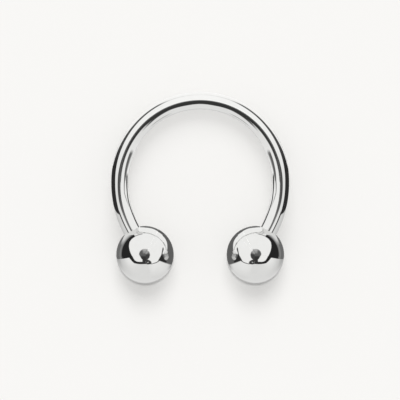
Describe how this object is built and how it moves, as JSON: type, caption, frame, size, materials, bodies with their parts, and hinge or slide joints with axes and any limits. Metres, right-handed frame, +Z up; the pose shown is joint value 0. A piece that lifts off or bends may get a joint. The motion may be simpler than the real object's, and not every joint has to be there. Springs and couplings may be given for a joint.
{
  "type": "horseshoe barbell",
  "caption": "Horseshoe barbell: a steel wire bent into an open ring, with a plain ball screwed onto each end, worn through a piercing.",
  "frame": {"origin": "on the surface that the horseshoe barbell lies on, under the middle of its outline", "axes": "+X from the left ball to the right ball, +Y from the balls towards the top of the bend, +Z up from the surface"},
  "size_m": [0.0124, 0.0132, 0.004],
  "materials": {
    "polished_steel": "polished"
  },
  "bodies": {
    "bar": {"bar": "polished_steel"},
    "ball_left": {"ball_left": "polished_steel"},
    "ball_right": {"ball_right": "polished_steel"}
  },
  "joints": [
    {"name": "left_ball_off", "type": "slide", "parent": "bar", "child": "ball_left", "axis": [0.4867, -0.8661, 0.1139], "range_m": [0, 0.003]},
    {"name": "right_ball_off", "type": "slide", "parent": "bar", "child": "ball_right", "axis": [-0.4867, -0.8661, 0.1139], "range_m": [0, 0.003]}
  ]
}
